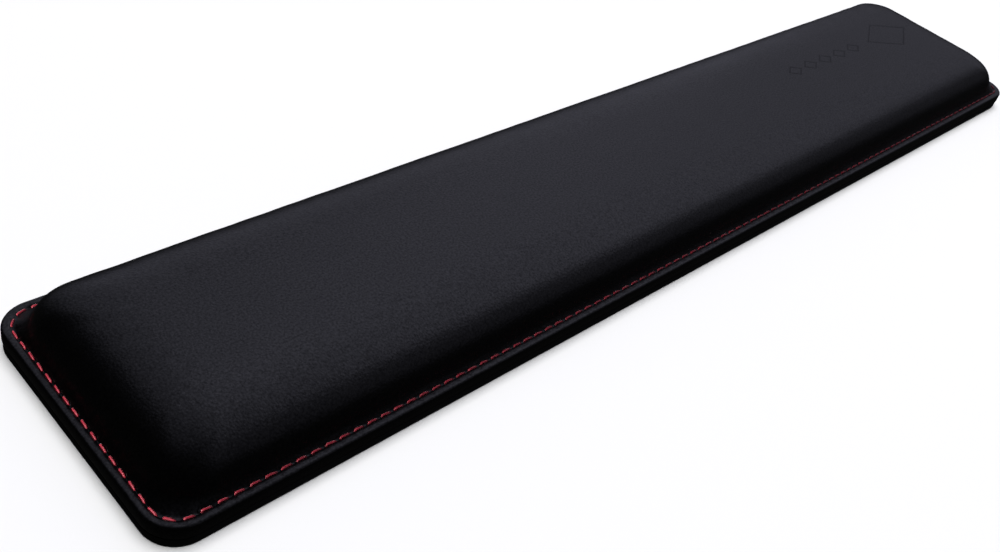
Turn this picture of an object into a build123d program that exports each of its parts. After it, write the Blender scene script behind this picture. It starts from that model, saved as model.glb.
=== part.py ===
from build123d import *

import math
import os

# Keyboard wrist rest: a padded bar with a stitched flange on an anti-slip rubber base.
#
# Frame: origin at the middle of the footprint on the desk plane, +X to the user's right along
# the length, +Y away from the user towards the keyboard, +Z up. Millimetres.
#
# The stack, from the desk upwards:
#   base_pad          moulded rubber sheet that grips the desk
#   bonding_sheet     adhesive sheet inside the hem, joins the base to the board
#   stiffener_board   flat board that keeps the bar straight and fills the flange
#   foam_core         memory foam block with a domed top
#   top_cover         one leatherette skin: dome, flange, rolled edge and a hem under the board
#   needle_thread     the visible stitches, one solid per stitch, with legs in the needle holes
#   bobbin_thread     the lower thread of the lockstitch, under the hem in a groove of the base

# Driving dimensions
length = 457.2
depth = 88.3
height = 22.4
corner_radius = 10.3
flange_top = 7.6
base_thickness = 2.8
skin = 0.8

# Rolled edge of the flange, and the edge of the base below it
roll_radius_top = 1.6
roll_radius_bottom = 1.2
base_inset = 0.2
base_edge_radius = 0.5

# Dome: a superellipse from the foot beside the seam up to the flat crown
foot_inset = 4.6
foot_radius = 13.1
shoulder_width = 29.0
shoulder_power = 2.8
radius_loss = 0.3
section_angles = (0, 10, 22, 36, 50, 64, 78, 90)

# Hem and board
hem_width = 12.0
hem_inner_radius = 4.0
board_bottom = base_thickness + skin
board_top = flange_top - skin
board_roll = 0.9
glue_gap = 0.1

# Lockstitched seam
seam_inset = 2.95
seam_channel_width = 1.7
seam_channel_depth = 0.45
stitch_count = 230
stitch_span = 3.9
thread_radius = 0.3
bend_radius = 0.32
needle_hole_radius = 0.7
thread_clearance = 0.05
bobbin_radius = 0.25
bobbin_groove_radius = 0.3

# How near to a height an edge has to lie to be picked for rounding
pick_tolerance = 0.01


def outline(inset, radius):
    """The footprint's rounded rectangle, drawn in by an inset."""
    return RectangleRounded(length - 2 * inset, depth - 2 * inset, radius)


def plate(inset, radius, low, high):
    """A flat rounded plate between two heights."""
    return Pos(0, 0, low) * extrude(outline(inset, radius), high - low)


def round_edges(solid, level, radius):
    """The plate with the edges that lie at one height rounded over."""
    edges = solid.edges().filter_by_position(Axis.Z, level - pick_tolerance, level + pick_tolerance)
    return fillet(edges, radius)


def rolled_plate(inset, low, high, radius_low, radius_high):
    """A plate that follows the footprint, with its lower and upper edges rounded over."""
    body = plate(inset, corner_radius - inset, low, high)
    body = round_edges(body, high, radius_high)
    return round_edges(body, low, radius_low)


def dome(foot, low, high, shoulder):
    """A loft of rounded rectangles that follow a quarter superellipse from the foot to the crown."""
    power = 2 / shoulder_power
    sections = []
    for angle in section_angles:
        run = 1 - max(math.cos(math.radians(angle)), 0) ** power
        rise = math.sin(math.radians(angle)) ** power
        inset = foot + shoulder * run
        radius = foot_radius - radius_loss * (inset - foot_inset)
        sections.append(Pos(0, 0, low + (high - low) * rise) * outline(inset, radius))
    return loft(sections)


def seam_ring(offset):
    """The seam's rounded rectangle, moved outwards by an offset."""
    return outline(seam_inset - offset, corner_radius - seam_inset + offset)


def seam_channel():
    """A flat-bottomed channel along the seam, sunk into the top of the flange."""
    half = seam_channel_width / 2
    ring = seam_ring(half) - seam_ring(-half)
    return Pos(0, 0, flange_top - seam_channel_depth) * extrude(ring, seam_channel_depth)


def along_seam(radius, level):
    """A round bar that follows the whole seam at one height."""
    path = (Pos(0, 0, level) * seam_ring(0)).wire()
    start = Plane(origin=path @ 0, z_dir=path % 0)
    return sweep(start * Circle(radius), path=path)


def needle_holes(seam):
    """One round hole between each stitch and the next, right through flange, board and hem."""
    pitch = 1 / stitch_count
    base_line = (Align.CENTER, Align.CENTER, Align.MIN)
    holes = []
    for number in range(stitch_count):
        centre = seam @ ((number + 0.5) * pitch)
        hole = Cylinder(needle_hole_radius, flange_top - base_thickness, align=base_line)
        holes.append(Pos(centre.X, centre.Y, base_thickness) * hole)
    return holes


def stitch(start, end, low, high):
    """One stitch: a leg up out of its hole, a bar along the channel and a leg down again."""
    points = [
        Vector(start.X, start.Y, low),
        Vector(start.X, start.Y, high),
        Vector(end.X, end.Y, high),
        Vector(end.X, end.Y, low),
    ]
    path = FilletPolyline(*points, radius=bend_radius)
    return sweep(Plane(origin=points[0], z_dir=(0, 0, 1)) * Circle(thread_radius), path=path)


def make_top_cover(holes):
    """The leatherette skin, hollow for the foam and the board and open below inside the hem."""
    flange = rolled_plate(0, base_thickness, flange_top, roll_radius_bottom, roll_radius_top)
    body = flange + dome(foot_inset, board_top, height, shoulder_width)
    body -= dome(foot_inset + skin, board_top, height - skin, shoulder_width - skin)
    body -= rolled_plate(skin, board_bottom, board_top, board_roll, board_roll)
    body -= plate(hem_width, hem_inner_radius, base_thickness, board_bottom)
    body -= seam_channel()
    return body - holes


def make_stiffener_board(holes):
    """The flat board, a glue gap smaller all round than its pocket in the skin."""
    board = rolled_plate(skin + glue_gap, board_bottom, board_top, board_roll, board_roll)
    return board - holes


def make_foam_core():
    """The foam block, a glue gap under the skin."""
    foot = foot_inset + skin + glue_gap
    shoulder = shoulder_width - skin - glue_gap
    return dome(foot, board_top, height - skin - glue_gap, shoulder)


def make_bonding_sheet():
    """The adhesive sheet that fills the window inside the hem."""
    inset = hem_width + glue_gap
    return plate(inset, hem_inner_radius - glue_gap, base_thickness, board_bottom)


def make_base_pad():
    """The rubber base, with a groove on top for the bobbin thread."""
    pad = plate(base_inset, corner_radius - base_inset, 0, base_thickness)
    pad = round_edges(pad, 0, base_edge_radius)
    return pad - along_seam(bobbin_groove_radius, base_thickness - bobbin_radius)


def make_needle_thread(seam):
    """Every visible stitch, as separate solids, one after another along the seam."""
    pitch = 1 / stitch_count
    half_span = stitch_span / seam.length / 2
    low = base_thickness + thread_clearance
    high = flange_top - seam_channel_depth + thread_clearance + thread_radius
    stitches = []
    for number in range(stitch_count):
        start = seam @ ((number * pitch - half_span) % 1)
        end = seam @ (number * pitch + half_span)
        stitches.append(stitch(start, end, low, high))
    return Compound(children=stitches)


def make_bobbin_thread():
    """The lower thread, one closed ring just under the hem."""
    return along_seam(bobbin_radius, base_thickness - bobbin_radius)


def main():
    os.makedirs("parts", exist_ok=True)
    seam = seam_ring(0).wire()
    holes = needle_holes(seam)
    nodes = {
        "top_cover": make_top_cover(holes),
        "foam_core": make_foam_core(),
        "stiffener_board": make_stiffener_board(holes),
        "bonding_sheet": make_bonding_sheet(),
        "base_pad": make_base_pad(),
        "needle_thread": make_needle_thread(seam),
        "bobbin_thread": make_bobbin_thread(),
    }
    for name, shape in nodes.items():
        export_step(shape, f"parts/{name}.step")
        print(name, "solids", len(shape.solids()), "volume", round(shape.volume))


main()
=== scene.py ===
# %% [markdown]
# # A padded wrist rest for a keyboard
#
# A wrist rest is a long, low cushion that lies in front of a keyboard. This one is a block of
# memory foam under one tight skin of black leatherette. The skin is drawn over the foam, sewn down
# all round with red thread, rolled round the edge of a flat board, and stands on a rubber base.
#
# The lesson makes its look in Blender. The sizes come first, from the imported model, which is
# already in place as the frame. Every new piece is then worked out as whole numpy arrays.

# %% Load the frame
import math

import bmesh
import bpy
import numpy as np
from mathutils import Matrix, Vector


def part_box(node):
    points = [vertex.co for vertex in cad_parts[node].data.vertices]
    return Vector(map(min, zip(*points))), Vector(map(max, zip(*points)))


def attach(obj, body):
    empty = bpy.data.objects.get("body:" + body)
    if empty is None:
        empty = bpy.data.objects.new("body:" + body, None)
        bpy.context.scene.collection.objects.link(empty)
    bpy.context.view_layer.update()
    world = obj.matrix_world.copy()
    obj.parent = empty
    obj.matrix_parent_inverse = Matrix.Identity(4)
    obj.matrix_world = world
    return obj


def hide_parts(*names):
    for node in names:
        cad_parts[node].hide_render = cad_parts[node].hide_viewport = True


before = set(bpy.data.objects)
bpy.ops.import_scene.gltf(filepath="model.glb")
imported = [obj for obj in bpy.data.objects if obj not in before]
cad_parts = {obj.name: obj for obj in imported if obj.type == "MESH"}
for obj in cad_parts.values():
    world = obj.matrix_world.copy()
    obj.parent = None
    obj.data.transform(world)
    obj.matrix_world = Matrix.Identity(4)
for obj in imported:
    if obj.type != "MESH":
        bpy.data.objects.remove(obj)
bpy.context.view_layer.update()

MM = 0.001

# %% [markdown]
# ## Sizes
#
# The model is in metres. Heights and outlines are read from the boxes of the CAD nodes, so the new
# pieces land exactly where the solid ones are. A few sizes of the skin can't be read from a box,
# such as the radius of a corner or how far the seam stands in from the edge, and are named here.

# %% Sizes from the frame, and the sizes of the skin
cover_low, cover_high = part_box("top_cover")
board_low, board_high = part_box("stiffener_board")
foam_low, foam_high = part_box("foam_core")

HALF_LENGTH = cover_high.x
HALF_DEPTH = cover_high.y
TOP = cover_high.z
BASE_TOP = cover_low.z
SKIN = board_low.z - BASE_TOP
BOARD_TOP = board_high.z
FLANGE_TOP = BOARD_TOP + SKIN

CORNER_RADIUS = 10.3 * MM
ROLL_TOP = 0.9 * MM
ROLL_BOTTOM = 1.2 * MM
HEM_WIDTH = 12 * MM
HEM_CORNER = 4 * MM

FOOT_INSET = 4.6 * MM
FOOT_RADIUS = 13.1 * MM
FOOT_RISE = 4.0 * MM
SHOULDER_WIDTH = 29 * MM
SHOULDER_POWER = 2.8
RADIUS_LOSS = 0.3

SEAM_INSET = 2.95 * MM
STITCHES = 230
print("flange top", round(FLANGE_TOP / MM, 2), "mm, skin", round(SKIN / MM, 2), "mm")

# %% [markdown]
# ## A coordinate that runs round a rounded rectangle
#
# Every level of the cushion is a rounded rectangle: the hem, the edge, the seam and each height of
# the dome. So the natural grid has one direction that runs round and one that runs inwards. A
# rounded rectangle is a small circle whose centre slides along a smaller, sharp rectangle: on a
# straight side only the centre moves, and in a corner only the angle turns. One number, the turn,
# counts those eight stretches, and the same turn gives matching points on every level.

# %% Points on a rounded rectangle
TURN = np.arange(9.0)
SIDE_X = np.array([-1, -1, -1, 1, 1, 1, 1, -1, -1.0])
SIDE_Y = np.array([1, -1, -1, -1, -1, 1, 1, 1, 1.0])
ANGLE = np.radians([180, 180, 270, 270, 360, 360, 450, 450, 540])


def ring_points(turn, inset, radius):
    """x and y where the turn says, on the outline drawn in by inset: the corner circle's centre,
    plus its radius times the cosine and sine of the angle."""
    centre_x = np.interp(turn, TURN, SIDE_X, period=8) * (HALF_LENGTH - inset - radius)
    centre_y = np.interp(turn, TURN, SIDE_Y, period=8) * (HALF_DEPTH - inset - radius)
    angle = np.interp(np.mod(turn, 8), TURN, ANGLE)
    return centre_x + radius * np.cos(angle), centre_y + radius * np.sin(angle)


def turn_of(distance, inset, radius, reach):
    """The turn at each distance along a rounded rectangle with that inset and corner radius. The
    breaks between the stretches lie where its corners begin and end, each moved along the straight
    sides by reach, because the dome's rounder corners begin sooner."""
    long_side = 2 * (HALF_LENGTH - inset - radius)
    short_side = 2 * (HALF_DEPTH - inset - radius)
    corner = math.pi / 2 * radius
    stretches = [short_side, corner, long_side, corner] * 2
    ends = np.cumsum([0, *stretches])
    total = ends[-1]
    moved = ends + reach * np.array([1, -1, 1, -1, 1, -1, 1, -1, 1])
    shifted = np.mod(distance - moved[0], total)
    return np.interp(shifted, moved - moved[0], TURN)


SEAM_RADIUS = CORNER_RADIUS - SEAM_INSET
SEAM_LENGTH = 4 * (HALF_LENGTH + HALF_DEPTH - 2 * CORNER_RADIUS) + 2 * math.pi * SEAM_RADIUS
PITCH = SEAM_LENGTH / STITCHES
print("seam", round(SEAM_LENGTH / MM, 1), "mm, one stitch every", round(PITCH / MM, 3), "mm")

# %% [markdown]
# ## The columns of the grid
#
# A column is a line across the seam. The stitches set where columns have to be: one in the middle
# of each stitch, one in each needle hole, and two between them on each side, closer together near
# the hole, where the leather dips most. Away from the seam half of them is enough.

# %% Columns, six for each stitch
STEPS = np.array([0, 0.22, 0.38, 0.5, 0.62, 0.78])
FINE = STITCHES * len(STEPS)
COARSE = FINE // 2
stitch_number = np.repeat(np.arange(STITCHES), len(STEPS))
column_phase = np.tile(STEPS, STITCHES)
column_distance = (stitch_number + column_phase) * PITCH
flange_turn = turn_of(column_distance, SEAM_INSET, SEAM_RADIUS, 0)
dome_reach = FOOT_INSET + FOOT_RADIUS - CORNER_RADIUS
dome_turn = turn_of(column_distance, SEAM_INSET, SEAM_RADIUS, dome_reach)
print(FINE, "columns at the seam,", COARSE, "on the dome")

# %% [markdown]
# ## The profile of the skin
#
# Cut across, the skin is one line. It starts in the middle of the crown on the inside, goes down
# over the foam, out along the top of the board and round under it, and turns back at the hem. From
# there it is the outside: along the underside, round the rolled edge, over the flange, through the
# seam's valley, and in a short curve up into the dome. The shoulder is a superellipse, which is
# fuller than a quarter of an ellipse: a tight skin over a soft block stands up steeply at the seam
# and then lies nearly flat. Each level keeps four numbers: how far in it is, its height, its corner
# radius, and how much it belongs to the dome, whose corners are rounder than the flange's.

# %% Curves for the profile
CROWN_CROWDING = 1.45


def shoulder(count, foot, width, low, high, start=0.0):
    """Inset and height up a quarter superellipse, from a start height above its foot. The levels
    crowd together towards the crown, where they would otherwise lie far apart."""
    power = 2 / SHOULDER_POWER
    first = math.asin((start / (high - low)) ** (1 / power))
    angle = math.pi / 2 - (math.pi / 2 - first) * np.linspace(1, 0, count) ** CROWN_CROWDING
    inset = foot + width * (1 - np.clip(np.cos(angle), 0, 1) ** power)
    return inset, low + (high - low) * np.sin(angle) ** power


def arc(count, centre_inset, centre_height, radius, first, last):
    """Inset and height on a circle, between two angles in degrees from the inward direction."""
    angle = np.radians(np.linspace(first, last, count))
    return centre_inset + radius * np.cos(angle), centre_height + radius * np.sin(angle)


def line(count, start, end):
    """Inset and height along a straight run."""
    share = np.linspace(0, 1, count)
    return start[0] + (end[0] - start[0]) * share, start[1] + (end[1] - start[1]) * share


def rise(count, start, end, first, last):
    """Inset and height on a Hermite cubic, which leaves the start and reaches the end at slopes
    given in degrees. Each end's pull is as long as the distance between the two."""
    share = np.linspace(0, 1, count)
    pull = math.hypot(end[0] - start[0], end[1] - start[1])
    leave = pull * math.cos(math.radians(first)), pull * math.sin(math.radians(first))
    arrive = pull * math.cos(math.radians(last)), pull * math.sin(math.radians(last))
    return tuple(
        (1 + 2 * share) * (1 - share) ** 2 * start[axis]
        + share * (1 - share) ** 2 * leave[axis]
        + share ** 2 * (3 - 2 * share) * end[axis]
        - share ** 2 * (1 - share) * arrive[axis]
        for axis in (0, 1)
    )


# %% Joining the runs, and the corners of each level


def join(*runs):
    """The runs one after another, without the points that two runs share."""
    inset = np.concatenate([runs[0][0]] + [run[0][1:] for run in runs[1:]])
    height = np.concatenate([runs[0][1]] + [run[1][1:] for run in runs[1:]])
    return inset, height


def levels(inset, height, dome_share):
    """Corner radius of each level: the flange's or the hem's, blended with the dome's."""
    flange_radius = np.maximum(CORNER_RADIUS - inset, HEM_CORNER)
    dome_radius = FOOT_RADIUS - RADIUS_LOSS * (inset - FOOT_INSET)
    radius = flange_radius + dome_share * (dome_radius - flange_radius)
    return inset, height, radius, dome_share


# %% The inside, from the crown to the hem
INNER_LEVELS = 18
LEDGE_LEVELS = 5

inner_foot = FOOT_INSET + SKIN
inner_dome = shoulder(INNER_LEVELS, inner_foot, SHOULDER_WIDTH - SKIN, BOARD_TOP, TOP - SKIN)
inner_inset, inner_height = join(
    (inner_dome[0][::-1], inner_dome[1][::-1]),
    line(LEDGE_LEVELS, (inner_foot, BOARD_TOP), (2 * SKIN, BOARD_TOP)),
    arc(4, 2 * SKIN, BOARD_TOP - SKIN, SKIN, 90, 180),
    arc(4, 2 * SKIN, BASE_TOP + 2 * SKIN, SKIN, 180, 270),
    line(4, (2 * SKIN, BASE_TOP + SKIN), (HEM_WIDTH, BASE_TOP + SKIN)),
)
inner_share = np.clip((inner_inset - SEAM_INSET) / (inner_foot - SEAM_INSET), 0, 1)
inner_share[INNER_LEVELS + LEDGE_LEVELS - 1:] = 0
inner = levels(inner_inset, inner_height, inner_share)
print(len(inner_inset), "levels inside")

# %% The outside, from the hem to the crown
VALLEY_DEPTH = 0.5 * MM
VALLEY_WIDTH = 0.52 * MM
DOME_LEVELS = 34
HEM_LEVELS = 4
LEAVE_SEAM, REACH_DOME = 20, 80

dome_inset, dome_height = shoulder(DOME_LEVELS, FOOT_INSET, SHOULDER_WIDTH, BOARD_TOP, TOP, FOOT_RISE)
dome_start = (dome_inset[0], dome_height[0])
edge_inset, edge_height = join(
    line(HEM_LEVELS, (HEM_WIDTH, BASE_TOP), (ROLL_BOTTOM, BASE_TOP)),
    arc(5, ROLL_BOTTOM, BASE_TOP + ROLL_BOTTOM, ROLL_BOTTOM, 270, 180),
    arc(6, ROLL_TOP, FLANGE_TOP - ROLL_TOP, ROLL_TOP, 180, 90),
    line(7, (ROLL_TOP, FLANGE_TOP), (SEAM_INSET, FLANGE_TOP)),
    rise(9, (SEAM_INSET, FLANGE_TOP), dome_start, LEAVE_SEAM, REACH_DOME),
)
valley = np.exp(-((edge_inset - SEAM_INSET) / VALLEY_WIDTH) ** 2)
edge_height = edge_height - VALLEY_DEPTH * valley * (edge_height > BOARD_TOP)
edge_share = np.clip((edge_inset - SEAM_INSET) / (FOOT_INSET - SEAM_INSET), 0, 1)
edge_share[:HEM_LEVELS] = 0
edge = levels(edge_inset, edge_height, edge_share)
dome = levels(dome_inset[1:], dome_height[1:], np.ones(DOME_LEVELS - 1))
print(len(edge_inset), "levels from the hem to the foot,", DOME_LEVELS, "up the dome")

# %% [markdown]
# ## From levels and columns to points
#
# The grid is the outer product of the two: for each level a ring of points, all levels at once.

# %% Points of a block of levels


def shorter_way(turn):
    """A difference of turns, taken the shorter way round."""
    return np.mod(turn + 4, 8) - 4


def block_points(level, step):
    """An array of levels by columns by 3. Step 1 keeps every column and step 2 every second one.
    The turn of a point goes from the flange's to the dome's by its share of the dome."""
    inset, height, radius, share = (values[:, None] for values in level)
    turn = flange_turn[::step] + share * shorter_way(dome_turn[::step] - flange_turn[::step])
    x, y = ring_points(turn, inset, radius)
    return np.stack([x, y, np.broadcast_to(height, x.shape)], axis=-1)


inner_points = block_points(inner, 2)
edge_points = block_points(edge, 1)
dome_points = block_points(dome, 2)
print("points", inner_points.shape, edge_points.shape, dome_points.shape)

# %% [markdown]
# ## What the needle does to the leather
#
# Each needle hole is pulled down by the thread, so the valley dips there, and the leather beside
# the middle of each stitch stands up a little instead. Both are small: about a third of a
# millimetre down, and less than a tenth up. They are worked out from how far a point is along the
# seam from the nearest hole, and across it.

# %% Dips at the needle holes
HOLE_DEPTH = 0.34 * MM
HOLE_SIZE = 0.55 * MM
PUFF_HEIGHT = 0.07 * MM
PUFF_PLACE = 1.25 * MM
PUFF_WIDTH = 0.6 * MM

along = (column_phase - 0.5)[None, :] * PITCH
across = (edge_inset - SEAM_INSET)[:, None]
on_flange = (edge_height > BOARD_TOP)[:, None]
dip = HOLE_DEPTH * np.exp(-((along / HOLE_SIZE) ** 2) - (across / HOLE_SIZE) ** 2)
beside = np.exp(-(((np.abs(across) - PUFF_PLACE) / PUFF_WIDTH) ** 2))
puff = -PUFF_HEIGHT * np.cos(2 * math.pi * column_phase)[None, :] * beside
edge_points[..., 2] -= on_flange * (dip + puff)
print("deepest dip", round(float((dip + puff).max() / MM), 3), "mm")

# %% [markdown]
# ## Closing the crown
#
# Rings that shrink to a point make a knot of thin triangles in the middle. The crown is closed by
# a grid instead: the last ring is cut at the middle of its four corners, and the points between its
# four sides are a Coons patch, which adds the blend of the long sides to the blend of the short
# ones and takes away the blend of the corners.

# %% Faces between rings


def ring_faces(first, rows, columns):
    """Four-sided faces of a closed block of rings whose first vertex has that number."""
    row, column = np.meshgrid(np.arange(rows - 1), np.arange(columns), indexing="ij")
    after = (column + 1) % columns
    corners = [row * columns + column, row * columns + after]
    corners += [(row + 1) * columns + after, (row + 1) * columns + column]
    return first + np.stack(corners, axis=-1).reshape(-1, 4)


def step_faces(fine, coarse, fine_is_outside):
    """Three triangles for each coarse column, from a ring of fine columns to one with half."""
    column = np.arange(COARSE)
    after = (column + 1) % COARSE
    left, middle, right = fine + 2 * column, fine + 2 * column + 1, fine + 2 * after
    near, far = coarse + column, coarse + after
    triangles = np.concatenate([
        np.stack([left, middle, near], axis=-1),
        np.stack([middle, far, near], axis=-1),
        np.stack([middle, right, far], axis=-1),
    ])
    return triangles if fine_is_outside else triangles[:, ::-1]


# %% The crown's grid


def crown_grid(ring, first_ring, first_new, rise, upward):
    """New points and faces that close a ring of coarse columns with a Coons patch: the blend of
    the long sides, plus the blend of the short sides, less the blend of the corners. The patch
    rises in the middle, by a parabola across and by a flatter curve of the sixth power along."""
    half = COARSE // 2
    turn = np.mod(dome_turn[::2], 8)
    cut_left = int(np.argmin(np.abs(turn - 1.5)))
    cut_right = int(np.argmin(np.abs(turn - 3.5)))
    wide, tall = cut_right - cut_left, half - (cut_right - cut_left)
    front = (cut_left + np.arange(wide + 1)) % COARSE
    right = (cut_right + np.arange(tall + 1)) % COARSE
    back = (cut_left + half + wide - np.arange(wide + 1)) % COARSE
    left = (cut_right + half + tall - np.arange(tall + 1)) % COARSE
    u = np.linspace(0, 1, wide + 1)[:, None, None]
    v = np.linspace(0, 1, tall + 1)[None, :, None]
    long_blend = ring[front][:, None] * (1 - v) + ring[back][:, None] * v
    short_blend = ring[left][None, :] * (1 - u) + ring[right][None, :] * u
    corner_blend = (ring[front[0]] * (1 - u) + ring[front[-1]] * u) * (1 - v)
    corner_blend = corner_blend + (ring[back[0]] * (1 - u) + ring[back[-1]] * u) * v
    points = long_blend + short_blend - corner_blend
    points[..., 2] += rise * (1 - (2 * u[..., 0] - 1) ** 6) * (1 - (2 * v[..., 0] - 1) ** 2)
    number = np.zeros((wide + 1, tall + 1), int)
    number[1:-1, 1:-1] = first_new + np.arange((wide - 1) * (tall - 1)).reshape(wide - 1, tall - 1)
    number[:, 0], number[:, -1] = first_ring + front, first_ring + back
    number[0, :], number[-1, :] = first_ring + left, first_ring + right
    quads = np.stack([number[:-1, :-1], number[1:, :-1], number[1:, 1:], number[:-1, 1:]], axis=-1)
    quads = quads.reshape(-1, 4)
    return points[1:-1, 1:-1].reshape(-1, 3), quads if upward else quads[:, ::-1]


# %% [markdown]
# ## Settling the skin
#
# Leatherette doesn't follow a drawn curve. It is sewn down at the needle holes, pushed out by the
# foam, and stretched a little more in some places than in others, so it pulls into shallow puckers
# above the seam and waves very gently higher up. A cloth simulation gives this: the seam is pinned,
# a weak spring ties each of the other points to the foam under it, and the rest lengths change by
# an uneven share, most unevenly near the seam. It runs ten times larger than life, because the
# solver is tuned for pieces of a metre or more, and only the small movement it finds is kept.

# %% A helper for mesh objects


def make_object(name, points, face_lists):
    """A smooth mesh object from points and lists of faces."""
    mesh = bpy.data.meshes.new(name)
    faces = [face for faces in face_lists for face in faces.tolist()]
    mesh.from_pydata(points.tolist(), [], faces)
    mesh.polygons.foreach_set("use_smooth", np.ones(len(mesh.polygons), bool))
    mesh.validate()
    mesh.update()
    thing = bpy.data.objects.new(name, mesh)
    bpy.context.scene.collection.objects.link(thing)
    return thing


# %% How unevenly the skin is stretched
WAVES = 9
WAVE_SEED = 11
LONGEST_WAVE, SHORTEST_WAVE = 12, 110
WAVE_REACH = 9 * MM
WAVE_LEAST = 0.2


def uneven(distance, inward, random):
    """A smooth random share between 0 and 1 over the skin: a few waves that fit so many times into
    the seam, fading upwards to a least strength, added up and squeezed into the range by a
    hyperbolic tangent."""
    count = random.integers(LONGEST_WAVE, SHORTEST_WAVE, WAVES)
    phase = random.uniform(0, 2 * math.pi, WAVES)
    turn = 2 * math.pi * distance[..., None] / SEAM_LENGTH * count + phase
    fade = np.exp(-inward[..., None] / WAVE_REACH) * (1 - WAVE_LEAST) + WAVE_LEAST
    return 0.5 + 0.5 * np.tanh((np.sin(turn) * fade).sum(axis=-1) / math.sqrt(WAVES))


# %% The cloth simulation
CLOTH_SCALE = 10
CLOTH_FRAMES = 12
CLOTH_QUALITY = 4
CLOTH_MASS = 0.4
STRETCH, SHEAR, BEND = 80, 40, 5
AIR_PRESSURE = 1
SHRINK_LEAST, SHRINK_MOST = -0.005, 0.008


def settle(points, faces, tie, share):
    """Where the points come to rest: ties of 1 are pinned, and the share sets the shrinkage."""
    proxy = make_object("skin_to_settle", points * CLOTH_SCALE, faces)
    for name, weights in (("tie", tie), ("shrink", share)):
        group = proxy.vertex_groups.new(name=name)
        for level in np.unique(np.round(weights, 2)):
            chosen = np.flatnonzero(np.round(weights, 2) == level)
            group.add(chosen.tolist(), float(level), "REPLACE")
    cloth = proxy.modifiers.new("cloth", "CLOTH")
    cloth.settings.vertex_group_mass = "tie"
    cloth.settings.vertex_group_shrink = "shrink"
    cloth.settings.shrink_min, cloth.settings.shrink_max = SHRINK_LEAST, SHRINK_MOST
    cloth.settings.quality = CLOTH_QUALITY
    cloth.settings.mass = CLOTH_MASS
    cloth.settings.tension_stiffness = cloth.settings.compression_stiffness = STRETCH
    cloth.settings.shear_stiffness = SHEAR
    cloth.settings.bending_stiffness = BEND
    cloth.settings.use_pressure = True
    cloth.settings.uniform_pressure_force = AIR_PRESSURE
    cloth.settings.effector_weights.gravity = 0
    cloth.collision_settings.use_collision = False
    cloth.point_cache.frame_start, cloth.point_cache.frame_end = 1, CLOTH_FRAMES
    for frame_number in range(1, CLOTH_FRAMES + 1):
        bpy.context.scene.frame_set(frame_number)
    shape = proxy.evaluated_get(bpy.context.evaluated_depsgraph_get()).to_mesh()
    rested = np.empty(len(points) * 3)
    shape.vertices.foreach_get("co", rested)
    mesh = proxy.data
    bpy.data.objects.remove(proxy)
    bpy.data.meshes.remove(mesh)
    bpy.context.scene.frame_set(1)
    return rested.reshape(-1, 3) / CLOTH_SCALE


# %% The part of the skin that settles: from the seam to the crown
CROWN_RISE = 0.05 * MM
FOAM_TIE = 0.5

seam_row = int(np.argmin(np.abs(edge_inset - SEAM_INSET) + (edge_height < BOARD_TOP)))
skin_rings = np.concatenate([edge_points[seam_row:, ::2], dome_points])
skin_rows = len(skin_rings)
skin_first = skin_rows * COARSE
skin_last_ring = skin_first - COARSE
skin_crown, skin_quads = crown_grid(dome_points[-1], skin_last_ring, skin_first, CROWN_RISE, True)
skin_points = np.concatenate([skin_rings.reshape(-1, 3), skin_crown])
skin_distance = np.concatenate([
    np.tile(column_distance[::2], skin_rows),
    np.zeros(len(skin_crown)),
])
skin_inward = np.concatenate([
    np.repeat(np.concatenate([edge_inset[seam_row:], dome_inset[1:]]), COARSE),
    np.full(len(skin_crown), FOOT_INSET + SHOULDER_WIDTH),
])
tie = np.where(skin_inward <= SEAM_INSET + 0.001 * MM, 1.0, FOAM_TIE)
share = uneven(skin_distance, skin_inward - SEAM_INSET, np.random.default_rng(WAVE_SEED))
print("skin to settle", len(skin_points), "points")

# %% Settle it, and keep the movement
CLOTH_LIMIT = 0.4 * MM

moved = np.zeros_like(skin_points)
skin_faces = [ring_faces(0, skin_rows, COARSE), skin_quads]
moved = settle(skin_points, skin_faces, tie, share) - skin_points
size = np.linalg.norm(moved, axis=1, keepdims=True)
moved = moved * np.minimum(1, CLOTH_LIMIT / np.maximum(size, 1e-9))
moved_rings = moved[:skin_first].reshape(skin_rows, COARSE, 3)
on_edge = len(edge_points) - seam_row
beside_seam = moved_rings[:on_edge]
edge_points[seam_row:, ::2] += beside_seam
edge_points[seam_row:, 1::2] += (beside_seam + np.roll(beside_seam, -1, axis=1)) / 2
dome_points += moved_rings[on_edge:]
print("movement in mm: mean", (size.mean() / MM).round(3), "largest", (size.max() / MM).round(3))

# %% [markdown]
# ## The cover's mesh
#
# The real cover is one sheet of leatherette, drawn over the foam and turned under the board. It
# could be made as one surface with a Solidify modifier. Here both of its sides are in the profile,
# because they differ: the inside lies flat on the board, and the outside has the valley. The three
# blocks and the two crowns go into one closed mesh, a skin with a real thickness.

# %% Build the cover
edge_first = inner_points.shape[0] * COARSE
dome_first = edge_first + edge_points.shape[0] * FINE
new_first = dome_first + dome_points.shape[0] * COARSE
edge_last_ring = dome_first - FINE
dome_last_ring = new_first - COARSE
_, outer_quads = crown_grid(dome_points[-1], dome_last_ring, new_first, CROWN_RISE, True)
outer_crown = skin_crown + moved[skin_first:]
last_first = new_first + len(outer_crown)
inner_crown, inner_quads = crown_grid(inner_points[0], 0, last_first, CROWN_RISE, False)
cover_points = np.concatenate([
    inner_points.reshape(-1, 3),
    edge_points.reshape(-1, 3),
    dome_points.reshape(-1, 3),
    outer_crown,
    inner_crown,
])
cover = make_object("cover", cover_points, [
    ring_faces(0, len(inner_points), COARSE),
    step_faces(edge_first, edge_first - COARSE, False),
    ring_faces(edge_first, len(edge_points), FINE),
    step_faces(edge_last_ring, dome_first, True),
    ring_faces(dome_first, len(dome_points), COARSE),
    outer_quads,
    inner_quads,
])
print("cover", len(cover.data.vertices), "points,", len(cover.data.polygons), "faces")

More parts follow.
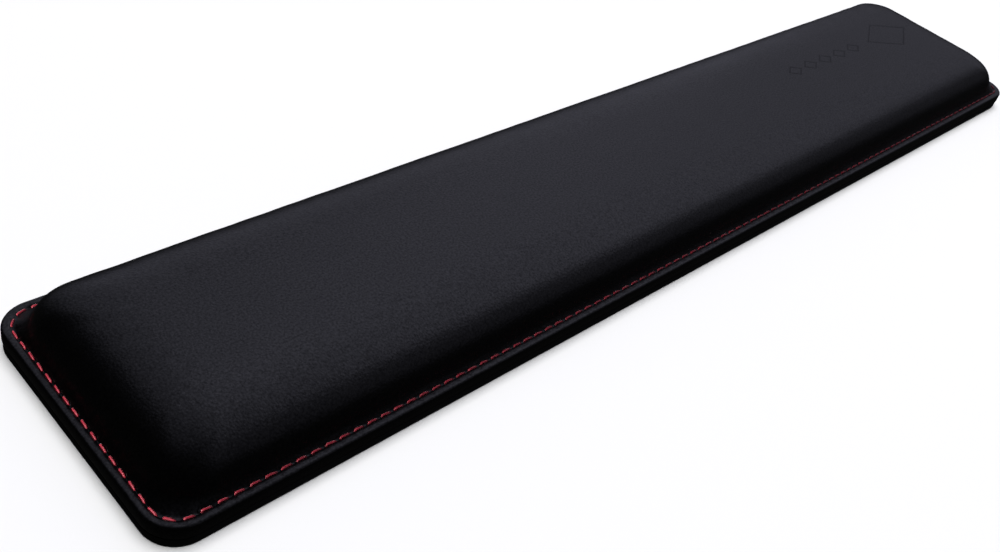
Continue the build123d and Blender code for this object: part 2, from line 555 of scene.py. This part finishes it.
# %% [markdown]
# ## A plain pressed mark
#
# The crown carries a small pressed ornament near its right end: a row of five plain diamonds and
# one larger one, as a hot stamp leaves them, with shallow rounded grooves. The grid is too coarse
# for so fine a groove, so only the faces under the mark are divided, and only their points move.
# How far each point was pressed is kept with the mesh, because the heat also leaves it duller.

# %% The mark's outline
MARK_Y = 5.5 * MM
MARK_X = np.array([101, 113, 125, 137, 149, 180]) * MM
MARK_HALF_WIDTH = np.array([4.4, 4.4, 4.4, 4.4, 4.4, 17]) * MM
MARK_HALF_HEIGHT = np.array([3, 3, 3, 3, 3, 9.5]) * MM


def mark_distance(x, y):
    """Distance from each point to the outline of the nearest diamond. Inside a diamond the sum of
    its two coordinates, each over its half width, is below 1, and on the outline it is 1."""
    beside = np.abs(x[:, None] - MARK_X) / MARK_HALF_WIDTH
    above = np.abs(y[:, None] - MARK_Y) / MARK_HALF_HEIGHT
    slope = MARK_HALF_WIDTH * MARK_HALF_HEIGHT / np.hypot(MARK_HALF_WIDTH, MARK_HALF_HEIGHT)
    return (np.abs(beside + above - 1) * slope).min(axis=1)


# %% Divide the crown under the mark and press it
GROOVE_DEPTH = 0.16 * MM
GROOVE_WIDTH = 0.42 * MM
MARK_MARGIN = 5 * GROOVE_WIDTH
MARK_CUTS = 2


def press_mark(thing):
    """Divides the faces under the mark, then sinks their points into the groove."""
    mesh = thing.data
    centres = np.empty(len(mesh.polygons) * 3)
    mesh.polygons.foreach_get("center", centres)
    centres = centres.reshape(-1, 3)
    under = mark_distance(centres[:, 0], centres[:, 1]) < MARK_MARGIN
    under &= centres[:, 2] > TOP - SKIN / 2
    work = bmesh.new()
    work.from_mesh(mesh)
    work.faces.ensure_lookup_table()
    chosen = {edge for number in np.flatnonzero(under) for edge in work.faces[number].edges}
    bmesh.ops.subdivide_edges(work, edges=list(chosen), cuts=MARK_CUTS, use_grid_fill=True)
    work.to_mesh(mesh)
    work.free()
    points = np.empty(len(mesh.vertices) * 3)
    mesh.vertices.foreach_get("co", points)
    points = points.reshape(-1, 3)
    pressed = np.exp(-((mark_distance(points[:, 0], points[:, 1]) / GROOVE_WIDTH) ** 2))
    pressed *= points[:, 2] > TOP - SKIN / 2
    points[:, 2] -= GROOVE_DEPTH * pressed
    mesh.vertices.foreach_set("co", points.ravel())
    kept = mesh.attributes.new("pressed", "FLOAT", "POINT")
    kept.data.foreach_set("value", pressed.astype(np.float32))
    mesh.update()


press_mark(cover)
print("cover with mark", len(cover.data.polygons), "faces")
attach(cover, "root")
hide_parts("top_cover")

# %% [markdown]
# ## The red stitches
#
# A lockstitch shows as a short bar of thread that comes up out of one hole and goes down the next.
# The thread is pulled tight, so it lies in the valley and bends sharply at both ends. No two are
# quite alike: each is a touch longer or shorter and turned a few degrees, because the thread comes
# up on one side of the lower thread and goes down on the other. One tube is worked out for all 230
# at once, as an array of stitches by rings by sides.

# %% Where each stitch lies, and how it is turned
THREAD_RADIUS = 0.33 * MM
BAR_HALF = 1.42 * MM
DIVE = 1.1 * MM
THREAD_SIDES = 8
SLANT = math.radians(-3)
SPREAD = math.radians(1.8)
LENGTH_SPREAD = 0.05
LENGTH_LIMIT = 0.1
STITCH_SEED = 7
THREAD_IN_VALLEY = 0.9
RING_PLACE = np.array([-1.04, -1, -0.86, -0.5, 0.5, 0.86, 1, 1.04])
RING_DROP = np.array([1, 0.42, 0.1, 0, 0, 0.1, 0.42, 1])

random = np.random.default_rng(STITCH_SEED)
middle_turn = turn_of(np.arange(STITCHES) * PITCH, SEAM_INSET, SEAM_RADIUS, 0)
middle_x, middle_y = ring_points(middle_turn, SEAM_INSET, SEAM_RADIUS)
heading = np.interp(np.mod(middle_turn, 8), TURN, ANGLE) + math.pi / 2
heading = heading + SLANT + random.normal(0, SPREAD, STITCHES)
longer = random.normal(0, LENGTH_SPREAD, STITCHES).clip(-LENGTH_LIMIT, LENGTH_LIMIT)
half = BAR_HALF * (1 + longer)
rest = FLANGE_TOP - VALLEY_DEPTH + THREAD_RADIUS * THREAD_IN_VALLEY
print("bars from", (2 * half.min() / MM).round(2), "to", (2 * half.max() / MM).round(2), "mm long")

# %% The tubes: each ring of a stitch is a circle across its path
run = half[:, None] * RING_PLACE[None, :]
path_height = rest - DIVE * RING_DROP[None, :] + np.zeros_like(run)
path_tilt = np.arctan2(np.gradient(path_height, axis=1), np.gradient(run, axis=1))
side = np.linspace(0, 2 * math.pi, THREAD_SIDES, endpoint=False)
outward = THREAD_RADIUS * np.cos(side)[None, None, :]
upward = THREAD_RADIUS * np.sin(side)[None, None, :]
local_run = run[..., None] - upward * np.sin(path_tilt)[..., None]
local_height = path_height[..., None] + upward * np.cos(path_tilt)[..., None]
cosine, sine = np.cos(heading)[:, None, None], np.sin(heading)[:, None, None]
stitch_points = np.stack([
    middle_x[:, None, None] + local_run * cosine - outward * sine,
    middle_y[:, None, None] + local_run * sine + outward * cosine,
    local_height + np.zeros_like(outward),
], axis=-1)
print("stitches by rings by sides", stitch_points.shape[:3])

# %% The faces of the tubes, and the stitches


def tube_faces(tubes, rings, sides):
    """Quads along many tubes, and the two caps of each."""
    counts = np.arange(tubes), np.arange(rings - 1), np.arange(sides)
    tube, ring, this = np.meshgrid(*counts, indexing="ij")
    start = tube * rings * sides + ring * sides
    after = (this + 1) % sides
    corners = [start + this, start + after, start + sides + after, start + sides + this]
    quads = np.stack(corners, axis=-1)
    first_cap = np.arange(tubes)[:, None] * rings * sides + np.arange(sides)[None, ::-1]
    last_cap = first_cap[:, ::-1] + (rings - 1) * sides
    return [quads.reshape(-1, 4), first_cap, last_cap]


stitch_faces = tube_faces(STITCHES, len(RING_PLACE), THREAD_SIDES)
stitches = make_object("stitches", stitch_points.reshape(-1, 3), stitch_faces)
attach(stitches, "root")
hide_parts("needle_thread")
print("stitches", len(stitches.data.polygons), "faces")

# %% [markdown]
# ## The foam block
#
# Under the skin lies one block of memory foam with the same dome. Nobody sees it while the rest is
# whole, but it is part of the object, so it gets its own closed mesh, with the same rings.

# %% Build the foam
FOAM_LEVELS = 26

foam_foot = foam_low.x + HALF_LENGTH
foam_width = FOOT_INSET + SHOULDER_WIDTH - foam_foot
foam_inset, foam_height = shoulder(FOAM_LEVELS, foam_foot, foam_width, foam_low.z, foam_high.z)
foam_rings = block_points(levels(foam_inset, foam_height, np.ones(FOAM_LEVELS)), 2)
foam_new = FOAM_LEVELS * COARSE
foam_top, foam_top_quads = crown_grid(foam_rings[-1], foam_new - COARSE, foam_new, 0, True)
foam_bottom, foam_bottom_quads = crown_grid(foam_rings[0], 0, foam_new + len(foam_top), 0, False)
foam_points = np.concatenate([foam_rings.reshape(-1, 3), foam_top, foam_bottom])
foam = make_object("foam", foam_points, [
    ring_faces(0, FOAM_LEVELS, COARSE),
    foam_top_quads,
    foam_bottom_quads,
])
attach(foam, "root")
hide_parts("foam_core")
print("foam", len(foam.data.polygons), "faces")

# %% [markdown]
# ## Materials
#
# Each finish is a few nodes round one Principled shader. A small helper keeps that short: it makes
# the material, sets the shader's own numbers, and hands back the node tree for the detail.

# %% A helper for materials


def new_material(name, colour, roughness, specular=0.5):
    """A material with one Principled shader, with its node tree and the shader itself."""
    material = bpy.data.materials.new(name)
    material.use_nodes = True
    tree = material.node_tree
    shader = tree.nodes["Principled BSDF"]
    shader.inputs["Base Color"].default_value = (*colour, 1)
    shader.inputs["Roughness"].default_value = roughness
    shader.inputs["Specular IOR Level"].default_value = specular
    return material, tree, shader


def add(tree, kind, values=None, links=None, **settings):
    """One node, with its settings, its socket values, and links from other sockets."""
    node = tree.nodes.new(kind)
    for key, value in settings.items():
        setattr(node, key, value)
    for key, value in (values or {}).items():
        node.inputs[key].default_value = value
    for key, value in (links or {}).items():
        tree.links.new(value, node.inputs[key])
    return node


def paint(thing, material):
    """The piece shows that material and no other."""
    thing.data.materials.clear()
    thing.data.materials.append(material)


# %% [markdown]
# ## Leatherette
#
# Leatherette is a thin polyurethane skin with a pressed grain: tiny pebbles less than a millimetre
# across with soft creases between them. It is nearly black all through. What the eye sees is
# mostly the sheen of the skin, and the sheen is uneven: the tops of the pebbles are polished by the
# roller and shine, and the creases don't. So the finish is three things in turn. The roughness has
# a faint mottle and is duller where the mark was pressed. The strength of the mirroring has a fine
# speckle. The bump has cells for the pebbles and fine noise for the pores.

# %% How dull the skin is
LEATHER_COLOUR = (0.0012, 0.0012, 0.0016)
MOTTLE = 9 * MM
SMOOTHEST, ROUGHEST = 0.34, 0.40
PRESSED_DULLER = 0.17


def skin_roughness(tree, place, pressed):
    """The mottle, scaled between the smoothest and the roughest, plus a share where pressed."""
    mottle = add(tree, "ShaderNodeTexNoise", {"Scale": 1 / MOTTLE, "Detail": 3.0}, {"Vector": place})
    between = {"To Min": SMOOTHEST, "To Max": ROUGHEST}
    sheen = add(tree, "ShaderNodeMapRange", between, {"Value": mottle.outputs["Fac"]})
    parts = {0: pressed, 2: sheen.outputs["Result"]}
    return add(tree, "ShaderNodeMath", {1: PRESSED_DULLER}, parts, operation="MULTIPLY_ADD").outputs[0]


# %% How strongly it mirrors
SPECKLE = 0.7 * MM
CREASE_LEVEL, PEBBLE_LEVEL = 0.29, 0.71
PRESSED_LEVEL = 0.8


def skin_mirroring(tree, place, pressed):
    """The speckle, scaled between crease and pebble, times a share where pressed."""
    gloss = add(tree, "ShaderNodeMapRange", {"To Min": 1.0, "To Max": PRESSED_LEVEL}, {"Value": pressed})
    noise = {"Scale": 1 / SPECKLE, "Detail": 2.0, "Roughness": 0.7}
    speckle = add(tree, "ShaderNodeTexNoise", noise, {"Vector": place})
    between = {"From Min": 0.3, "From Max": 0.7, "To Min": CREASE_LEVEL, "To Max": PEBBLE_LEVEL}
    glint = add(tree, "ShaderNodeMapRange", between, {"Value": speckle.outputs["Fac"]})
    parts = {0: glint.outputs["Result"], 1: gloss.outputs["Result"]}
    return add(tree, "ShaderNodeMath", None, parts, operation="MULTIPLY").outputs[0]


# %% Pebbles and pores
PEBBLE = 0.75 * MM
PEBBLE_DEPTH = 0.08 * MM
PORE = 0.18 * MM
PORE_DEPTH = 0.03 * MM


def skin_relief(tree, place):
    """Rounded cells as bump, lowest between the cells, with fine noise as bump on top."""
    cells = {"Scale": 1 / PEBBLE, "Randomness": 0.9, "Smoothness": 0.35}
    pebbles = add(tree, "ShaderNodeTexVoronoi", cells, {"Vector": place}, feature="SMOOTH_F1")
    grain = add(tree, "ShaderNodeBump", {"Strength": 0.5, "Distance": PEBBLE_DEPTH},
                {"Height": pebbles.outputs["Distance"]}, invert=True)
    pores = add(tree, "ShaderNodeTexNoise", {"Scale": 1 / PORE, "Detail": 2.0}, {"Vector": place})
    fine = add(tree, "ShaderNodeBump", {"Strength": 0.25, "Distance": PORE_DEPTH},
               {"Height": pores.outputs["Fac"], "Normal": grain.outputs["Normal"]})
    return fine.outputs["Normal"]


# %% The leatherette finish


def leatherette():
    """Dark skin with pebble grain and pores, an uneven sheen, and a duller pressed mark."""
    material, tree, shader = new_material("leatherette", LEATHER_COLOUR, ROUGHEST)
    place = add(tree, "ShaderNodeTexCoord").outputs["Object"]
    pressed = add(tree, "ShaderNodeAttribute", attribute_name="pressed").outputs["Fac"]
    tree.links.new(skin_roughness(tree, place, pressed), shader.inputs["Roughness"])
    tree.links.new(skin_mirroring(tree, place, pressed), shader.inputs["Specular IOR Level"])
    tree.links.new(skin_relief(tree, place), shader.inputs["Normal"])
    return material


paint(cover, leatherette())
print("leatherette on", cover.name, "with pebbles of", PEBBLE / MM, "mm")

# %% [markdown]
# ## Thread
#
# Sewing thread is polyester, spun from a few plies, with a soft shine. The plies run slantwise
# round it. A stitch is so short that its plies needn't be modelled: a slanting wave of bump, a
# little distorted, breaks up its shine in the same way.

# %% The thread finishes
PLIES_PER_RADIUS = 0.35
PLY_DEPTH = 0.08 * MM
THREAD_ROUGHNESS = 0.45
RED = (0.30, 0.014, 0.030)
BLACK = (0.01, 0.01, 0.01)


def thread(name, colour):
    """Dyed polyester with the slanting plies as a wave of bump."""
    material, tree, shader = new_material(name, colour, THREAD_ROUGHNESS)
    shader.inputs["Sheen Weight"].default_value = 0.2
    shader.inputs["Sheen Roughness"].default_value = 0.4
    place = add(tree, "ShaderNodeTexCoord").outputs["Object"]
    wave = {"Scale": PLIES_PER_RADIUS / THREAD_RADIUS, "Distortion": 1.5, "Detail": 1.0}
    plies = add(tree, "ShaderNodeTexWave", wave, {"Vector": place}, bands_direction="DIAGONAL")
    depth = {"Strength": 0.5, "Distance": PLY_DEPTH}
    bump = add(tree, "ShaderNodeBump", depth, {"Height": plies.outputs["Fac"]})
    tree.links.new(bump.outputs["Normal"], shader.inputs["Normal"])
    return material


paint(stitches, thread("red_thread", RED))
paint(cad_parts["bobbin_thread"], thread("black_thread", BLACK))
print("red thread on", stitches.name, "and black on the bobbin thread")

# %% [markdown]
# ## The rubber base
#
# The rubber is moulded against a fine waffle plate below, which is what grips the desk, and smooth
# at its edge. The waffle is a grid of square cells: a Voronoi texture without randomness, measured
# by the larger of the two distances. The normal tells which faces look down and may show it.

# %% The rubber finish
WAFFLE = 1.6 * MM
WAFFLE_DEPTH = 0.3 * MM
WAFFLE_TURN = (0, 0, math.radians(45))
DUST_DEPTH = 0.05 * MM
LOOKS_DOWN = -0.9


def waffle_relief(tree, place):
    """Square cells on the faces that look down, and nothing elsewhere."""
    turned = add(tree, "ShaderNodeMapping", {"Rotation": WAFFLE_TURN}, {"Vector": place})
    waffle = add(tree, "ShaderNodeTexVoronoi", {"Scale": 1 / WAFFLE, "Randomness": 0.0},
                 {"Vector": turned.outputs["Vector"]}, distance="CHEBYCHEV", voronoi_dimensions="2D")
    normal = add(tree, "ShaderNodeNewGeometry").outputs["Normal"]
    facing = add(tree, "ShaderNodeSeparateXYZ", None, {"Vector": normal})
    below = add(tree, "ShaderNodeMath", {1: LOOKS_DOWN}, {0: facing.outputs["Z"]}, operation="LESS_THAN")
    parts = {0: waffle.outputs["Distance"], 1: below.outputs[0]}
    return add(tree, "ShaderNodeMath", None, parts, operation="MULTIPLY").outputs[0]


def rubber():
    """Matte black rubber with the waffle, and fine dust over all of it."""
    material, tree, shader = new_material("base_rubber", (0.020, 0.020, 0.021), 0.62, 0.4)
    place = add(tree, "ShaderNodeTexCoord").outputs["Object"]
    coarse = add(tree, "ShaderNodeBump", {"Strength": 0.8, "Distance": WAFFLE_DEPTH},
                 {"Height": waffle_relief(tree, place)}, invert=True)
    dust = add(tree, "ShaderNodeTexNoise", {"Scale": 1 / PORE, "Detail": 2.0}, {"Vector": place})
    fine = add(tree, "ShaderNodeBump", {"Strength": 0.3, "Distance": DUST_DEPTH},
               {"Height": dust.outputs["Fac"], "Normal": coarse.outputs["Normal"]})
    tree.links.new(fine.outputs["Normal"], shader.inputs["Normal"])
    return material


paint(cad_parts["base_pad"], rubber())
print("rubber on the base, waffle of", WAFFLE / MM, "mm")

# %% [markdown]
# ## Board, glue and foam
#
# These three are hidden inside. The board is foamed plastic, the glue is a thin pale sheet, and the
# foam is an open sponge of small cells. One recipe does for all: two close colours mixed by noise,
# each at its own scale.

# %% The hidden finishes
FOAM_CELL = 0.9 * MM
BOARD_CELL = 1.2 * MM
GLUE_CLOUD = 4 * MM


def speckled(name, colour, other, roughness, cell, strength):
    """Two close colours mixed by noise, with the same noise as bump."""
    material, tree, shader = new_material(name, colour, roughness)
    place = add(tree, "ShaderNodeTexCoord").outputs["Object"]
    noise = add(tree, "ShaderNodeTexNoise", {"Scale": 1 / cell, "Detail": 4.0}, {"Vector": place})
    mix = add(tree, "ShaderNodeMix", None, {"Factor": noise.outputs["Fac"]}, data_type="RGBA")
    mix.inputs["A"].default_value = (*colour, 1)
    mix.inputs["B"].default_value = (*other, 1)
    tree.links.new(mix.outputs["Result"], shader.inputs["Base Color"])
    depth = {"Strength": strength, "Distance": cell / 4}
    bump = add(tree, "ShaderNodeBump", depth, {"Height": noise.outputs["Fac"]})
    tree.links.new(bump.outputs["Normal"], shader.inputs["Normal"])
    return material


board = speckled("board", (0.09, 0.09, 0.09), (0.12, 0.12, 0.12), 0.7, BOARD_CELL, 0.4)
adhesive = speckled("adhesive", (0.75, 0.72, 0.62), (0.68, 0.64, 0.52), 0.35, GLUE_CLOUD, 0.2)
sponge = speckled("foam", (0.62, 0.64, 0.66), (0.45, 0.47, 0.50), 0.9, FOAM_CELL, 0.8)
paint(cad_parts["stiffener_board"], board)
paint(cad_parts["bonding_sheet"], adhesive)
paint(foam, sponge)
print("materials", sorted(material.name for material in bpy.data.materials))

# %% [markdown]
# ## The floor
#
# A plain pale floor, so wide that its end is never in view. A white floor would throw so much light
# on the black sides of the cushion that they turn grey, so it is kept out of the object's mirrored
# and scattered light: the cushion stands on it, but doesn't see it.

# %% The floor
FLOOR_SIZE = 60.0
FLOOR_COLOUR = (0.86, 0.86, 0.86)


def plane(name, size):
    """A flat square at height 0."""
    corners = np.array([[-1, -1, 0], [1, -1, 0], [1, 1, 0], [-1, 1, 0.0]]) * size / 2
    return make_object(name, corners, [np.array([[0, 1, 2, 3]])])


floor = plane("floor", FLOOR_SIZE)
floor_material, _, _ = new_material("floor", FLOOR_COLOUR, 0.8, 0.2)
paint(floor, floor_material)
floor.visible_glossy = False
floor.visible_diffuse = False
print("floor", FLOOR_SIZE, "m wide")

# %% [markdown]
# ## The lights
#
# Black leatherette shows its shape by what it mirrors. A ring of wide softboxes stands behind the
# cushion and to its left, at three heights: the high ones are mirrored by the flat crown, the low
# ones by the rolled edge and the flange, and the steep sides mirror the dark room. A faint fill on
# the right keeps the far end from going black. Two lamps are linked to one object each. A distant
# lamp, wide enough for soft shadows, lights the floor evenly, and a small lamp beyond the left end
# brings out the red thread.

# %% A softbox, and a light for one object only


def softbox(name, azimuth, elevation, distance, size, radiance, colour=(1, 1, 1)):
    """A rectangular area light that faces the middle of the cushion from an azimuth and an
    elevation in degrees. Its power follows from how bright its face is: radiance, area and pi."""
    data = bpy.data.lights.new(name, "AREA")
    data.shape = "RECTANGLE"
    data.size, data.size_y = size
    data.energy = radiance * math.pi * size[0] * size[1]
    data.color = colour
    lamp = bpy.data.objects.new(name, data)
    bpy.context.scene.collection.objects.link(lamp)
    lamp.matrix_world = (
        Matrix.Rotation(math.radians(azimuth - 90), 4, "Z")
        @ Matrix.Rotation(math.radians(elevation), 4, "X")
        @ Matrix.Translation((0, distance, 0))
        @ Matrix.Rotation(math.radians(-90), 4, "X")
    )
    return lamp


def lights_only(lamp, thing):
    """The light falls on that object and on nothing else."""
    group = bpy.data.collections.new(lamp.name + "_receives")
    group.objects.link(thing)
    lamp.light_linking.receiver_collection = group


# %% Place the lights
COOL = (0.95, 0.95, 1.18)
FLOOR_STRENGTH = 3.1
FLOOR_SPREAD = math.radians(50)
ROOM_GLOW = 0.014

softbox("back_softbox", 16, 52, 2.2, (2.3, 1.6), 0.56, COOL)
softbox("left_softbox", 79, 47, 2.2, (1.6, 1.5), 0.32, COOL)
softbox("low_softbox", 56, 17, 2.4, (2.3, 1.1), 0.40, COOL)
softbox("low_right_softbox", 12, 18, 2.4, (1.4, 1.0), 0.24, COOL)
softbox("low_left_softbox", 92, 15, 2.4, (0.8, 1.1), 0.20, COOL)
softbox("top_softbox", 90, 80, 2.0, (1.6, 1.2), 0.16, COOL)
softbox("right_fill", -45, 42, 2.0, (2.2, 2.4), 0.12, COOL)
floor_lamp = bpy.data.objects.new("floor_light", bpy.data.lights.new("floor_light", "SUN"))
floor_lamp.data.energy = FLOOR_STRENGTH
floor_lamp.data.angle = FLOOR_SPREAD
bpy.context.scene.collection.objects.link(floor_lamp)
lights_only(floor_lamp, floor)
lights_only(softbox("thread_light", 180, 18, 0.48, (0.12, 0.12), 31.0), stitches)

world = bpy.data.worlds.new("room")
world.use_nodes = True
world.node_tree.nodes["Background"].inputs["Color"].default_value = (1, 1, 1, 1)
world.node_tree.nodes["Background"].inputs["Strength"].default_value = ROOM_GLOW
bpy.context.scene.world = world
bpy.context.scene.view_settings.view_transform = "Standard"

# %% [markdown]
# ## The camera
#
# The camera stands close to the near left corner and looks along the cushion from above, with a
# roll, so that the long bar runs from corner to corner of the picture.

# %% The camera
CAMERA_PLACE = (-308.67 * MM, -175.87 * MM, 228.67 * MM)
CAMERA_HEADING = math.radians(-53.441)
CAMERA_TILT = math.radians(50.538)
CAMERA_ROLL = math.radians(15.571)
FOCAL_LENGTH_MM = 39.425
SENSOR_WIDTH_MM = 36.0

camera_data = bpy.data.cameras.new("camera")
camera_data.sensor_fit = "HORIZONTAL"
camera_data.sensor_width = SENSOR_WIDTH_MM
camera_data.lens = FOCAL_LENGTH_MM
camera_data.clip_start = 0.01
camera = bpy.data.objects.new("camera", camera_data)
bpy.context.scene.collection.objects.link(camera)
camera.matrix_world = (
    Matrix.Translation(CAMERA_PLACE)
    @ Matrix.Rotation(CAMERA_HEADING, 4, "Z")
    @ Matrix.Rotation(CAMERA_TILT, 4, "X")
    @ Matrix.Rotation(CAMERA_ROLL, 4, "Z")
)
bpy.context.scene.camera = camera
print("camera at", [round(value / MM) for value in CAMERA_PLACE], "mm")
